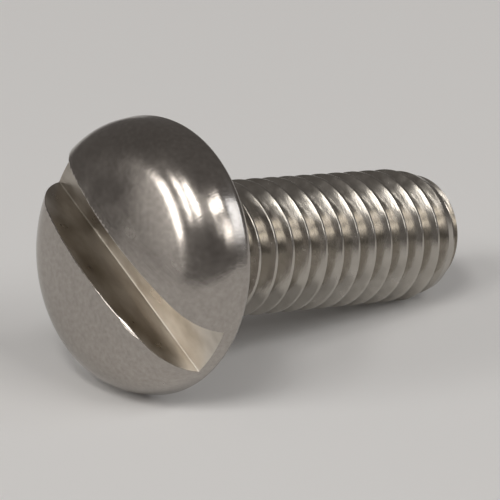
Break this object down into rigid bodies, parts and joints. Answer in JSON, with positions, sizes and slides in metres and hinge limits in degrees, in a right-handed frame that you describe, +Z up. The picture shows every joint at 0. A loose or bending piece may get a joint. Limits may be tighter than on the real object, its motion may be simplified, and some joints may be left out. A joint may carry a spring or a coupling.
{
  "type": "machine screw",
  "caption": "Slotted pan head machine screw with a metric thread along its whole shank, lying on its side.",
  "frame": {"origin": "middle of the screw's box at the surface it lies on", "axes": "+X along the lying shank towards the tip, +Z up, head towards -X"},
  "size_m": [0.0198, 0.0118, 0.0116],
  "materials": {
    "stainless_steel": "tumbled, between satin and polished"
  },
  "bodies": {
    "root": {"machine_screw": "stainless_steel"}
  },
  "joints": []
}
